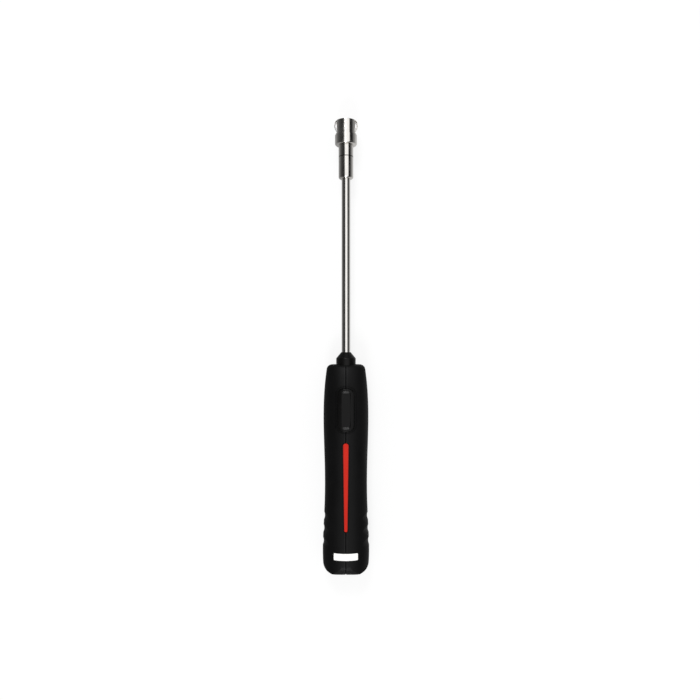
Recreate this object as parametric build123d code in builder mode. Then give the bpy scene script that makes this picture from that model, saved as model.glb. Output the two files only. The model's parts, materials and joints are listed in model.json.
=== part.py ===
from build123d import *
from math import sqrt
import os

os.makedirs("parts", exist_ok=True)

# Surface contact thermometer: a sprung cross-band probe on a cordless two-shell handle.
#
# Frame, in millimetres: X across the tool, Y along it towards the contact tip, Z from the
# flat back up to the front. The origin lies under the middle of the tool, on the surface
# that its back rests on. Every round piece of the probe turns about one axis along Y.

# ------------------------------------------------------------------ driving dimensions
# Overall
handle_length = 133.4
probe_reach = 150.0
axis_height = 12.0
clearance = 0.1
hidden_gap = 0.25

# Dry cells: two of the AAA size, side by side, the negative poles on springs
cell_diameter = 10.5
cell_length = 44.5
cell_pole_radius = 1.9
cell_pole_height = 0.8
cell_spacing = 0.1
cell_floor_gap = 1.35
spring_length = 3.0
spring_wire = 0.5
spring_coil_radius = 3.4
spring_turns = 3
contact_thickness = 0.4
contact_width = 8.0
contact_height = 7.0
contact_tail_width = 2.0

# Handle form
wall = 2.0
nose_wall = 8.0
cell_side_room = 1.0
waist_half_width = cell_diameter + cell_spacing / 2 + cell_side_room + wall
foot_half_width = waist_half_width + 0.45
swell_half_width = waist_half_width + 1.4
belly_half_width = waist_half_width + 0.9
neck_half_width = waist_half_width + 0.35
nose_half_width = 12.0
foot_rise = 12.0
swell_rise = 12.6
waist_rise = 11.2
belly_rise = 13.4
neck_rise = 12.0
nose_rise = 6.8
back_fall = 16.0
neck_fall = 14.6
nose_fall = 9.5
swell_from_foot = 14.5
waist_from_foot = 59.5
belly_from_nose = 32.6
neck_from_nose = 16.6
foot_radius = 29.3
foot_corner = 6.0
foot_rounding = 7.0
foot_rounding_rise = 0.35
nose_rounding = 3.6
seam_width = 0.5
recess_depth = 0.4

# Grip grooves down both flanks
groove_count = 3
groove_pitch = 8.05
first_groove = 20.0
groove_depth = 0.5
groove_radius = 7.0
groove_centre_drop = 1.0

# Shell screws, driven from the left
screw_radius = 1.2
screw_head_radius = 2.1
screw_head_height = 1.6
screw_head_rounding = 0.5
screw_length = 17.0
screw_seat = 9.5
screw_boss_radius = 3.2
screw_slot_width = 0.7
screw_slot_depth = 0.8
screw_slot_reach = 1.5
foot_screw_from_foot = 7.6
foot_screw_height = 9.5
bay_screw_height = 8.2
nose_screw_from_nose = 19.6
nose_screw_height = 7.2

# Record button and its switch
button_width = 10.7
button_length = 26.6
button_corner = 4.0
button_from_nose = 28.4
button_proud = 1.0
button_dish = 0.45
button_crown_radius = 15.5
button_edge = 0.6
hollow_rim = 1.1
hollow_slope_run = 1.6
hollow_depth = 0.75
button_gap = 0.2
button_frame = 1.4
button_travel = 0.8
button_lip = 0.9
button_lip_thickness = 1.0
button_lip_drop = 4.8
stem_radius = 2.4
switch_size = 6.0
switch_height = 3.1
switch_corner = 0.3
plunger_radius = 1.5
plunger_stand = 1.2

# Red inlay and blank label plate
inlay_top_radius = 2.0
inlay_foot_radius = 1.15
inlay_below_button = 7.6
inlay_foot = 28.6
inlay_depth = 1.2
inlay_thickness = 1.1
inlay_gap = 0.45
label_width = 15.2
label_height = 4.3
label_corner = 0.6
label_thickness = 0.3
label_from_foot = 10.8

# Foot plug
plug_radius = 3.6
plug_setback = 0.5
plug_flange = 1.2
plug_flange_thickness = 1.0

# Battery bay and door
bay_foot = 11.0
bay_wall = 1.2
door_height = 4.4
door_gap = 0.15
door_tongue_width = 12.0
door_tongue_length = 3.0
door_tongue_thickness = 1.0
thumb_groove_count = 4
thumb_groove_pitch = 2.4
thumb_groove_width = 1.1
thumb_groove_length = 11.0
thumb_groove_depth = 0.5

# Circuit board and what it carries
board_half_width = 9.8
board_thickness = 1.6
board_height = 13.6
board_nose_gap = 18.1
rail_reach = 2.2
rail_length = 4.0
rail_thickness = 1.6
radio_from_board_foot = 12.0
radio_length = 12.0
radio_width = 11.0
radio_height = 2.4
chip_size = 7.0
chip_height = 1.1
chip_from_radio = 2.4
terminal_length = 6.0
terminal_width = 7.0
terminal_height = 2.9

# Nose gland
gland_radius = 6.3
gland_cone = 3.9
gland_collar = 3.9
gland_lip = 0.3
gland_edge = 0.4
gland_flange = 0.9
gland_flange_thickness = 2.4
gland_rib_thickness = 1.5
gland_rib_bore = 4.2

# Probe tube and sleeves
tube_radius = 2.75
tube_wall = 0.5
tube_into_handle = 14.6
slip_fit = 0.02
sleeve_radius = 4.7
sleeve_joint_depth = 24.25
sleeve_end_depth = 38.4
sleeve_joint_gap = 0.15
sleeve_rounding = 1.3
tube_into_sleeve = 4.0
lead_radius = 0.4
lead_offset = 0.9

# Contact head, its depths measured back from the highest point of the bands
cup_radius = 6.55
cup_wall = 0.75
cup_rim_depth = 1.2
cup_rim_rounding = 0.3
slot_width = 6.0
slot_end_depth = 9.4
flange_radius = 7.05
flange_top_depth = 10.4
flange_end_depth = 16.8
flange_rounding = 1.2
floor_thickness = 1.6
spigot_radius = 3.6
spigot_length = 3.4
band_thickness = 0.15
ribbon_width = 1.8
ribbon_shoulder = (5.2, 0.95)
ribbon_flank = (7.2, 5.4)
ribbon_root = (4.9, 9.3)
strip_width = 1.1
strip_offset = 2.3
strip_drop = 0.2
strip_tuck = 0.35
junction_length = 0.9
insulator_screw_gap = 0.2
insulator_wall_gap = 0.55
insulator_top_depth = 2.6
head_screw_wall_gap = 0.15
head_screw_head_radius = 1.3
head_screw_head_height = 0.9
head_screw_radius = 0.7
head_screw_slot_width = 0.3
head_screw_slot_depth = 0.45
head_screw_slot_reach = 0.85

# ------------------------------------------------------------------ places worked out from them
total_length = handle_length + gland_cone + gland_collar + probe_reach
foot = -total_length / 2
nose = foot + handle_length
tip = total_length / 2
cell_radius = cell_diameter / 2
cell_offset = (cell_diameter + cell_spacing) / 2
cell_height = wall + cell_floor_gap + cell_radius
bay_inside = foot + bay_foot + bay_wall
bay_end = bay_inside + 2 * contact_thickness + spring_length + cell_length + 2 * clearance
bay_outside = bay_end + bay_wall
bay_screw = bay_outside + screw_boss_radius + hidden_gap
door_end = bay_outside + hidden_gap
button_at = nose - button_from_nose
board_foot = bay_outside + hidden_gap
board_nose = nose - board_nose_gap
board_top = board_height + board_thickness
radio_foot = board_foot + radio_from_board_foot
screw_places = [
    (foot + foot_screw_from_foot, foot_screw_height),
    (bay_screw, bay_screw_height),
    (nose - nose_screw_from_nose, nose_screw_height),
]
plug_reach = plug_radius + plug_flange
plug_shoulder = foot + wall + hidden_gap + foot_radius - sqrt(foot_radius**2 - plug_reach**2)
gland_tip = nose + gland_collar + gland_cone
gland_seat = nose - nose_wall
tube_bore_radius = tube_radius - tube_wall
tube_end = tip - flange_end_depth - tube_into_sleeve
lead_foot = board_nose - terminal_length + clearance
lead_end = tip - flange_top_depth - floor_thickness - clearance
cup_bore = cup_radius - cup_wall
head_screw_offset = cup_bore - head_screw_wall_gap - head_screw_head_radius
insulator_half_width = head_screw_offset - head_screw_head_radius - insulator_screw_gap
insulator_half_length = sqrt((cup_bore - insulator_wall_gap) ** 2 - insulator_half_width**2)

handle_stations = [
    (foot, foot_half_width, foot_rise, back_fall),
    (foot + swell_from_foot, swell_half_width, swell_rise, back_fall),
    (foot + waist_from_foot, waist_half_width, waist_rise, back_fall),
    (nose - belly_from_nose, belly_half_width, belly_rise, back_fall),
    (nose - neck_from_nose, neck_half_width, neck_rise, neck_fall),
    (nose, nose_half_width, nose_rise, nose_fall),
]
foot_rounding_centre = axis_height + foot_rise + foot_rounding_rise - foot_rounding

# Lengths of cutting tools that have to pass right through the handle
above = 2 * axis_height
beyond = 3 * axis_height


# ------------------------------------------------------------------ shared shapes
def across(along):
    """The plane across the tool at one place along it, seen with X right and Z up."""
    return Plane(origin=(0, along, axis_height), x_dir=(1, 0, 0), z_dir=(0, -1, 0))


def lying(height):
    """The level plane at one height above the resting surface."""
    return Plane.XY.offset(height)


probe_axis = Axis((0, 0, axis_height), (0, 1, 0))


def handle_form(inset, nose_inset):
    """The handle's form with its flat back and rounded foot, shrunk all round by an inset."""
    with BuildPart() as form:
        for along, half_width, rise, fall in handle_stations:
            reach = half_width - inset
            with BuildSketch(across(along)):
                with BuildLine():
                    EllipticalCenterArc((0, 0), reach, rise - inset, start_angle=0, arc_size=180)
                    EllipticalCenterArc((0, 0), reach, fall - inset, start_angle=180, arc_size=180)
                make_face()
        loft()
        with BuildSketch(lying(inset)) as plan:
            with Locations((0, foot + foot_radius)):
                Circle(foot_radius - inset)
                Rectangle(2 * foot_radius, handle_length - foot_radius - nose_inset,
                          align=(Align.CENTER, Align.MIN))
            with Locations((0, foot)):
                Rectangle(2 * (swell_half_width - inset), handle_length - nose_inset,
                          align=(Align.CENTER, Align.MIN), mode=Mode.INTERSECT)
            fillet(plan.vertices().group_by(Axis.Y)[0], foot_corner - inset)
        extrude(amount=beyond, mode=Mode.INTERSECT)
        with BuildSketch(Plane.YZ):
            with Locations((foot + foot_rounding, foot_rounding_centre)):
                Rectangle(2 * foot_rounding, beyond, align=(Align.MAX, Align.MIN))
                Circle(foot_rounding - inset, mode=Mode.SUBTRACT)
        extrude(amount=beyond, both=True, mode=Mode.SUBTRACT)
    return form.part


def button_prism(margin):
    """A tall upright block with the button's outline, grown by a margin."""
    with BuildPart() as prism:
        with BuildSketch(lying(axis_height)):
            with Locations((0, button_at)):
                RectangleRounded(button_width + 2 * margin, button_length + 2 * margin,
                                 button_corner + margin)
        extrude(amount=above)
    return prism.part


def inlay_prism(margin):
    """A tall upright block with the inlay's tapering outline, grown by a margin."""
    top = button_at - button_length / 2 - inlay_below_button - inlay_top_radius
    with BuildPart() as prism:
        with BuildSketch(lying(axis_height)):
            with BuildLine():
                CenterArc((0, top), inlay_top_radius + margin, 0, 360)
                CenterArc((0, foot + inlay_foot + inlay_foot_radius), inlay_foot_radius + margin, 0, 360)
            make_hull()
        extrude(amount=above)
    return prism.part


def label_prism(margin):
    """A tall upright block with the label plate's outline, grown by a margin."""
    with BuildPart() as prism:
        with BuildSketch(lying(axis_height)):
            with Locations((0, foot + label_from_foot + label_height / 2)):
                RectangleRounded(label_width + 2 * margin, label_height + 2 * margin,
                                 label_corner + margin)
        extrude(amount=above)
    return prism.part


def turned(points):
    """A solid of revolution about the probe axis, from (radius, place along) corners."""
    with BuildPart() as solid:
        with BuildSketch(lying(axis_height)):
            with BuildLine():
                Polyline(*points, close=True)
            make_face()
        revolve(axis=probe_axis)
    return solid.part


def cross_slot(width, reach):
    """Draw the cross that a screwdriver turns on the sketch at hand."""
    Rectangle(2 * reach, width)
    Rectangle(width, 2 * reach)


def band(width, offset, drop, tuck):
    """One sprung band bent over the contact head, and centred at an offset beside the axis."""
    shoulder = (ribbon_shoulder[0], tip - ribbon_shoulder[1] - drop)
    flank = (ribbon_flank[0] - tuck, tip - ribbon_flank[1] - drop)
    root = (ribbon_root[0] - tuck, tip - ribbon_root[1])
    half = band_thickness / 2
    with BuildPart() as strip:
        with BuildSketch(lying(axis_height + offset - width / 2)):
            with BuildLine():
                arch = ThreePointArc((-shoulder[0], shoulder[1]), (0, tip - half - drop), shoulder)
                right = TangentArc(shoulder, flank, tangent=arch % 1)
                TangentArc(flank, root, tangent=right % 1)
                left = TangentArc((-shoulder[0], shoulder[1]), (-flank[0], flank[1]),
                                  tangent=(arch % 0) * -1)
                TangentArc((-flank[0], flank[1]), (-root[0], root[1]), tangent=left % 1)
            trace(line_width=band_thickness)
        extrude(amount=width)
    return strip.part


def finish(piece, name):
    """Label a finished piece and write it to its own file."""
    piece.label = name
    export_step(piece, f"parts/{name}.step")


# ------------------------------------------------------------------ handle shells
with BuildPart() as handle_block:
    add(handle_form(0, 0))
    nose_edges = handle_block.faces().sort_by(Axis.Y)[-1].edges()
    fillet(nose_edges, nose_rounding)
    for groove in range(groove_count):
        groove_along = foot + first_groove + groove * groove_pitch
        girth = section(handle_form(0, 0), section_by=across(groove_along))
        groove_reach = girth.bounding_box().max.X - groove_depth + groove_radius
        with Locations(Location((0, groove_along, axis_height - groove_centre_drop), (90, 0, 0))):
            Torus(groove_reach, groove_radius, mode=Mode.SUBTRACT)

with BuildPart() as cavity:
    add(handle_form(wall, nose_wall))
    for along, height in screw_places:
        with BuildSketch(Plane.YZ):
            with Locations((along, height)):
                Circle(screw_boss_radius)
        extrude(amount=beyond, both=True, mode=Mode.SUBTRACT)
    with BuildSketch(across(gland_seat - gland_flange_thickness - clearance)):
        Rectangle(beyond, beyond)
        Circle(gland_rib_bore, mode=Mode.SUBTRACT)
    extrude(amount=gland_rib_thickness, mode=Mode.SUBTRACT)
    rail_inside = board_half_width - rail_reach + clearance
    rail_levels = (board_height - clearance / 2 - rail_thickness, board_top + clearance / 2)
    for rail_along in (board_foot + 2 * rail_length, board_nose - rail_length):
        for level in rail_levels:
            for side in (-1, 1):
                rail_middle = side * (rail_inside + beyond / 2)
                with Locations((rail_middle, rail_along, level + rail_thickness / 2)):
                    Box(beyond, rail_length, rail_thickness, mode=Mode.SUBTRACT)

with BuildPart() as surface_recesses:
    add(button_prism(button_frame))
    add(label_prism(clearance))
    Box(seam_width, 2 * total_length, 2 * beyond)
    add(handle_form(recess_depth, recess_depth), mode=Mode.SUBTRACT)

with BuildPart() as inlay_slot:
    add(inlay_prism(inlay_gap))
    add(handle_form(inlay_depth, inlay_depth), mode=Mode.SUBTRACT)

with BuildPart() as shell_pair:
    add(handle_block.part)
    add(cavity.part, mode=Mode.SUBTRACT)
    add(surface_recesses.part, mode=Mode.SUBTRACT)
    add(inlay_slot.part, mode=Mode.SUBTRACT)
    add(button_prism(button_gap), mode=Mode.SUBTRACT)
    with BuildSketch(across(nose + clearance)):
        Circle(gland_radius + clearance / 2)
    extrude(amount=nose_wall + 2 * clearance, mode=Mode.SUBTRACT)
    with BuildSketch(across(plug_shoulder + plug_flange_thickness)):
        Circle(plug_radius + clearance)
    extrude(amount=beyond, mode=Mode.SUBTRACT)
    with Locations((0, door_end + door_gap, door_height + door_gap)):
        Box(beyond, handle_length, beyond, align=(Align.CENTER, Align.MAX, Align.MAX),
            mode=Mode.SUBTRACT)

with BuildPart() as left_shell:
    add(shell_pair.part)
    split(bisect_by=Plane.YZ, keep=Keep.BOTTOM)
    for along, height in screw_places:
        with BuildSketch(Plane.YZ):
            with Locations((along, height)):
                Circle(screw_radius + clearance)
        extrude(amount=-beyond, mode=Mode.SUBTRACT)
        with BuildSketch(Plane.YZ.offset(-screw_seat)):
            with Locations((along, height)):
                Circle(screw_head_radius + 2 * clearance)
        extrude(amount=-beyond, mode=Mode.SUBTRACT)
finish(left_shell.part, "left_shell")

with BuildPart() as right_shell:
    add(shell_pair.part)
    split(bisect_by=Plane.YZ, keep=Keep.TOP)
    for along, height in screw_places:
        with BuildSketch(Plane.YZ):
            with Locations((along, height)):
                Circle(screw_radius + slip_fit)
        extrude(amount=screw_length - screw_seat + hidden_gap, mode=Mode.SUBTRACT)
finish(right_shell.part, "right_shell")

with BuildPart() as shell_screws:
    for along, height in screw_places:
        with BuildSketch(Plane.YZ.offset(-screw_seat)):
            with Locations((along, height)):
                Circle(screw_radius)
        extrude(amount=screw_length)
        head_plane = Plane(origin=(-screw_seat, along, height), x_dir=(0, 1, 0), z_dir=(-1, 0, 0))
        with BuildSketch(head_plane):
            Circle(screw_head_radius)
        head = extrude(amount=screw_head_height)
        fillet(head.edges().group_by(Axis.X)[0], screw_head_rounding)
        with BuildSketch(head_plane.offset(screw_head_height)):
            cross_slot(screw_slot_width, screw_slot_reach)
        extrude(amount=-screw_slot_depth, mode=Mode.SUBTRACT)
finish(shell_screws.part, "shell_screws")

# ------------------------------------------------------------------ battery door
with BuildPart() as battery_door:
    add(handle_block.part)
    add(cavity.part, mode=Mode.SUBTRACT)
    with Locations((0, door_end, door_height)):
        Box(beyond, handle_length, beyond, align=(Align.CENTER, Align.MAX, Align.MAX),
            mode=Mode.INTERSECT)
    with Locations((0, door_end + door_tongue_length, wall + door_gap)):
        Box(door_tongue_width, 2 * door_tongue_length, door_tongue_thickness,
            align=(Align.CENTER, Align.MAX, Align.MIN))
    with Locations((0, door_end, wall / 2)):
        Box(door_tongue_width, door_tongue_length, wall + 2 * door_gap,
            align=(Align.CENTER, Align.MAX, Align.MIN))
    first_thumb_groove = door_end - 2 * door_tongue_length
    for groove in range(thumb_groove_count):
        with Locations((0, first_thumb_groove - groove * thumb_groove_pitch, 0)):
            Box(thumb_groove_length, thumb_groove_width, 2 * thumb_groove_depth, mode=Mode.SUBTRACT)
finish(battery_door.part, "battery_door")

# ------------------------------------------------------------------ button, inlay, label, plug
dish_radius = button_length**2 / (8 * button_dish)
crown_centre = belly_rise + button_proud - button_dish - button_crown_radius
button_top = axis_height + belly_rise + button_proud
lip_top = axis_height + belly_rise - button_lip_drop
plunger_top = board_top + switch_height + plunger_stand
with BuildPart() as record_button:
    with BuildSketch(across(button_at)):
        with Locations((0, crown_centre)):
            Circle(button_crown_radius)
            Rectangle(2 * button_width, button_crown_radius, align=(Align.CENTER, Align.MIN),
                      mode=Mode.INTERSECT)
    dish_height = axis_height + crown_centre + button_crown_radius + dish_radius
    revolve(axis=Axis((0, button_at, dish_height), (1, 0, 0)))
    add(button_prism(0), mode=Mode.INTERSECT)
    with Locations((0, button_at, lip_top)):
        Box(beyond, beyond, beyond, align=(Align.CENTER, Align.CENTER, Align.MIN),
            mode=Mode.INTERSECT)
    fillet(record_button.faces().sort_by(Axis.Z)[-1].edges(), button_edge)
    for height, run in ((button_top, 0), (button_top - hollow_depth, hollow_slope_run)):
        with BuildSketch(lying(height)):
            with Locations((0, button_at)):
                RectangleRounded(button_width - 2 * (hollow_rim + run),
                                 button_length - 2 * (hollow_rim + run),
                                 button_corner - hollow_rim - run)
    loft(ruled=True, mode=Mode.SUBTRACT)
    with BuildSketch(lying(lip_top)):
        with Locations((0, button_at)):
            RectangleRounded(button_width + 2 * button_lip, button_length + 2 * button_lip,
                             button_corner + button_lip)
    extrude(amount=-button_lip_thickness)
    with BuildSketch(lying(lip_top - button_lip_thickness)):
        with Locations((0, button_at)):
            Circle(stem_radius)
    extrude(amount=-(lip_top - button_lip_thickness - plunger_top - slip_fit))
finish(record_button.part, "record_button")

with BuildPart() as red_inlay:
    add(handle_form(0, 0))
    add(inlay_prism(0), mode=Mode.INTERSECT)
    add(handle_form(inlay_thickness, inlay_thickness), mode=Mode.SUBTRACT)
finish(red_inlay.part, "red_inlay")

with BuildPart() as label_plate:
    add(handle_form(0, 0))
    add(label_prism(0), mode=Mode.INTERSECT)
    add(handle_form(label_thickness, label_thickness), mode=Mode.SUBTRACT)
finish(label_plate.part, "label_plate")

with BuildPart() as foot_plug:
    with BuildSketch(across(plug_shoulder + plug_flange_thickness)):
        Circle(plug_reach)
    extrude(amount=plug_flange_thickness)
    with BuildSketch(across(plug_shoulder)):
        Circle(plug_radius)
    extrude(amount=plug_shoulder - foot - plug_setback)
    chamfer(foot_plug.edges().sort_by(Axis.Y)[0], plug_setback / 2)
finish(foot_plug.part, "foot_plug")

# ------------------------------------------------------------------ dry cells, cradle and contacts
spring_seat = bay_inside + contact_thickness
far_contact = bay_end - contact_thickness
cell_ends = ((-1, spring_seat + spring_length, 1), (1, far_contact - spring_length, -1))

with BuildPart() as battery_cradle:
    add(handle_form(wall + hidden_gap, nose_wall))
    with Locations((0, foot + bay_foot, cell_height + bay_wall)):
        Box(beyond, bay_outside - foot - bay_foot, cell_radius + hidden_gap,
            align=(Align.CENTER, Align.MIN, Align.MIN), mode=Mode.INTERSECT)
    with BuildSketch(Plane(origin=(0, bay_end, 0), x_dir=(1, 0, 0), z_dir=(0, -1, 0))):
        with Locations((-cell_offset, cell_height), (cell_offset, cell_height)):
            Circle(cell_radius + clearance)
        with Locations((0, cell_height)):
            Rectangle(2 * cell_offset, cell_radius + clearance, align=(Align.CENTER, Align.MIN))
    extrude(amount=bay_end - bay_inside, mode=Mode.SUBTRACT)
    with Locations((-cell_offset, bay_end, cell_height), (cell_offset, bay_end, cell_height)):
        Box(contact_tail_width + 2 * hidden_gap, 2 * bay_wall + hidden_gap, beyond,
            align=(Align.CENTER, Align.CENTER, Align.MIN), mode=Mode.SUBTRACT)
finish(battery_cradle.part, "battery_cradle")

with BuildPart() as battery_cells:
    for side, start, heading in cell_ends:
        base_plane = Plane(origin=(side * cell_offset, start, cell_height), x_dir=(1, 0, 0),
                           z_dir=(0, heading, 0))
        with BuildSketch(base_plane):
            Circle(cell_radius)
        can = extrude(amount=cell_length - cell_pole_height)
        fillet(can.edges().filter_by(GeomType.CIRCLE), hidden_gap)
        with BuildSketch(base_plane.offset(cell_length - cell_pole_height)):
            Circle(cell_pole_radius)
        extrude(amount=cell_pole_height)
finish(battery_cells.part, "battery_cells")

spring_room = spring_length - spring_wire - 2 * clearance
with BuildPart() as contact_springs:
    for side, start, heading in cell_ends:
        spring_start = start - heading * (spring_length - spring_wire / 2 - clearance)
        with BuildLine():
            coil = Helix(spring_room / spring_turns, spring_room, spring_coil_radius,
                         center=(side * cell_offset, spring_start, cell_height),
                         direction=(0, heading, 0))
        with BuildSketch(Plane(origin=coil @ 0, z_dir=coil % 0)):
            Circle(spring_wire / 2)
        sweep(path=coil, is_frenet=True)
finish(contact_springs.part, "contact_springs")

with BuildPart() as link_plate:
    with Locations((0, bay_inside, cell_height)):
        Box(2 * cell_offset + contact_width, contact_thickness, contact_height,
            align=(Align.CENTER, Align.MIN, Align.CENTER))
finish(link_plate.part, "link_plate")

for name, side in (("positive_contact", -1), ("negative_contact", 1)):
    with BuildPart() as cell_contact:
        with Locations((side * cell_offset, bay_end, cell_height)):
            Box(contact_width, contact_thickness, contact_height,
                align=(Align.CENTER, Align.MAX, Align.CENTER))
        tail_height = board_height - contact_thickness
        with Locations((side * cell_offset, bay_end, cell_height)):
            Box(contact_tail_width, contact_thickness, tail_height - cell_height,
                align=(Align.CENTER, Align.MAX, Align.MIN))
        with Locations((side * cell_offset, bay_end - contact_thickness, tail_height)):
            Box(contact_tail_width, board_foot - bay_end + rail_length,
                contact_thickness - clearance / 2, align=(Align.CENTER, Align.MIN, Align.MAX))
    finish(cell_contact.part, name)

# ------------------------------------------------------------------ circuit board
with BuildPart() as circuit_board:
    with BuildSketch(lying(board_height)):
        with Locations((0, board_foot)):
            Rectangle(2 * board_half_width, board_nose - board_foot, align=(Align.CENTER, Align.MIN))
    extrude(amount=board_thickness)
    fillet(circuit_board.edges().filter_by(Axis.Z), board_thickness / 2)
finish(circuit_board.part, "circuit_board")

with BuildPart() as press_switch:
    with Locations((0, button_at, board_top)):
        Box(switch_size, switch_size, switch_height, align=(Align.CENTER, Align.CENTER, Align.MIN))
    chamfer(press_switch.edges().filter_by(Axis.Z), switch_corner)
    with BuildSketch(lying(board_top + switch_height)):
        with Locations((0, button_at)):
            Circle(plunger_radius + clearance)
    extrude(amount=-(switch_height - 2 * clearance), mode=Mode.SUBTRACT)
finish(press_switch.part, "press_switch")

with BuildPart() as switch_plunger:
    with BuildSketch(lying(plunger_top)):
        with Locations((0, button_at)):
            Circle(plunger_radius)
    extrude(amount=-(plunger_stand + button_travel + hidden_gap))
finish(switch_plunger.part, "switch_plunger")

with BuildPart() as radio_module:
    with Locations((0, radio_foot, board_top)):
        Box(radio_width, radio_length, radio_height, align=(Align.CENTER, Align.MIN, Align.MIN))
    fillet(radio_module.edges().filter_by(Axis.Z), board_thickness / 2)
finish(radio_module.part, "radio_module")

with BuildPart() as measuring_chip:
    with Locations((0, radio_foot + radio_length + chip_from_radio, board_top)):
        Box(chip_size, chip_size, chip_height, align=(Align.CENTER, Align.MIN, Align.MIN))
    chamfer(measuring_chip.faces().sort_by(Axis.Z)[-1].edges(), clearance)
finish(measuring_chip.part, "measuring_chip")

with BuildPart() as cold_junction_block:
    with Locations((0, board_nose, board_height)):
        Box(terminal_width, terminal_length, terminal_height, align=(Align.CENTER, Align.MAX, Align.MAX))
    with BuildSketch(across(board_nose)):
        with Locations((-lead_offset, 0), (lead_offset, 0)):
            Circle(lead_radius + clearance / 2)
    extrude(amount=terminal_length - clearance, mode=Mode.SUBTRACT)
finish(cold_junction_block.part, "cold_junction_block")

# ------------------------------------------------------------------ nose gland, tube and sleeves
gland_points = [
    (tube_radius + slip_fit, gland_tip),
    (tube_radius + gland_lip, gland_tip),
    (gland_radius, gland_tip - gland_cone),
    (gland_radius, gland_seat - clearance),
    (gland_radius + gland_flange, gland_seat - clearance),
    (gland_radius + gland_flange, gland_seat - gland_flange_thickness),
    (tube_radius + slip_fit, gland_seat - gland_flange_thickness),
]
with BuildPart() as nose_gland:
    add(turned(gland_points))
    rim = nose_gland.edges().filter_by(GeomType.CIRCLE).filter_by(
        lambda edge: abs(edge.center().Y - (gland_tip - gland_cone)) < clearance
    )
    fillet(rim, gland_edge)
finish(nose_gland.part, "nose_gland")

tube_start = nose - tube_into_handle
tube_points = [
    (tube_bore_radius, tube_start),
    (tube_radius, tube_start),
    (tube_radius, tube_end),
    (tube_bore_radius, tube_end),
]
finish(turned(tube_points), "probe_tube")

sleeve_points = [
    (tube_radius + slip_fit, tip - sleeve_end_depth),
    (sleeve_radius, tip - sleeve_end_depth),
    (sleeve_radius, tip - sleeve_joint_depth - sleeve_joint_gap),
    (tube_radius + slip_fit, tip - sleeve_joint_depth - sleeve_joint_gap),
]
with BuildPart() as lower_sleeve:
    add(turned(sleeve_points))
    sleeve_foot = lower_sleeve.edges().filter_by(GeomType.CIRCLE).group_by(Axis.Y)[0]
    fillet(sleeve_foot.sort_by(SortBy.RADIUS)[-1], sleeve_rounding)
finish(lower_sleeve.part, "lower_sleeve")

collar_points = [
    (tube_radius + slip_fit, tip - sleeve_joint_depth),
    (sleeve_radius, tip - sleeve_joint_depth),
    (sleeve_radius, tip - flange_end_depth - slip_fit),
    (spigot_radius + slip_fit, tip - flange_end_depth - slip_fit),
    (spigot_radius + slip_fit, tip - flange_end_depth - spigot_length - clearance),
    (tube_radius + slip_fit, tip - flange_end_depth - spigot_length - clearance),
]
finish(turned(collar_points), "upper_collar")

# ------------------------------------------------------------------ contact head
flange_points = [
    (tube_bore_radius - tube_wall, tip - flange_end_depth - spigot_length),
    (spigot_radius, tip - flange_end_depth - spigot_length),
    (spigot_radius, tip - flange_end_depth),
    (flange_radius, tip - flange_end_depth),
    (flange_radius, tip - flange_top_depth),
    (cup_radius + slip_fit, tip - flange_top_depth),
    (cup_radius + slip_fit, tip - flange_top_depth - floor_thickness - slip_fit),
    (tube_bore_radius - tube_wall, tip - flange_top_depth - floor_thickness - slip_fit),
]
with BuildPart() as head_flange:
    add(turned(flange_points))
    fillet(head_flange.edges().filter_by(GeomType.CIRCLE).filter_by(
        lambda edge: abs(edge.center().Y - tip + flange_end_depth) < clearance
        and edge.radius > sleeve_radius
    ), flange_rounding)
finish(head_flange.part, "head_flange")

cup_points = [
    (cup_bore, tip - flange_top_depth - floor_thickness),
    (cup_radius, tip - flange_top_depth - floor_thickness),
    (cup_radius, tip - cup_rim_depth),
    (cup_bore, tip - cup_rim_depth),
]
with BuildPart() as head_cup:
    add(turned(cup_points))
    with Locations((0, tip - slot_end_depth, axis_height)):
        Box(beyond, slot_end_depth, slot_width, align=(Align.CENTER, Align.MIN, Align.CENTER),
            mode=Mode.SUBTRACT)
    fillet(head_cup.edges().filter_by(GeomType.CIRCLE).group_by(Axis.Y)[-1].group_by(SortBy.RADIUS)[-1],
           cup_rim_rounding)
finish(head_cup.part, "head_cup")

floor_top = tip - flange_top_depth
head_screw_places = [(0, -head_screw_offset), (0, head_screw_offset)]
with BuildPart() as head_floor:
    with BuildSketch(across(floor_top)):
        Circle(cup_bore - slip_fit)
        with Locations(*head_screw_places):
            Circle(head_screw_radius + slip_fit, mode=Mode.SUBTRACT)
        with Locations((-lead_offset, 0), (lead_offset, 0)):
            Circle(lead_radius + clearance, mode=Mode.SUBTRACT)
    extrude(amount=floor_thickness)
finish(head_floor.part, "head_floor")

with BuildPart() as head_screws:
    for place in head_screw_places:
        with BuildSketch(across(floor_top)):
            with Locations(place):
                Circle(head_screw_radius)
        extrude(amount=floor_thickness - clearance)
        with BuildSketch(across(floor_top + head_screw_head_height)):
            with Locations(place):
                Circle(head_screw_head_radius)
        screw_head = extrude(amount=head_screw_head_height)
        fillet(screw_head.edges().group_by(Axis.Y)[-1], head_screw_head_height / 2)
        with BuildSketch(across(floor_top + head_screw_head_height)):
            with Locations(place):
                cross_slot(head_screw_slot_width, head_screw_slot_reach)
        extrude(amount=head_screw_slot_depth, mode=Mode.SUBTRACT)
finish(head_screws.part, "head_screws")

with BuildPart() as insulator_block:
    with BuildSketch(across(tip - insulator_top_depth)):
        RectangleRounded(2 * insulator_half_length, 2 * insulator_half_width, cup_wall)
    extrude(amount=flange_top_depth - insulator_top_depth)
    fillet(insulator_block.faces().sort_by(Axis.Y)[-1].edges(), cup_wall / 2)
finish(insulator_block.part, "insulator_block")

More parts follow.
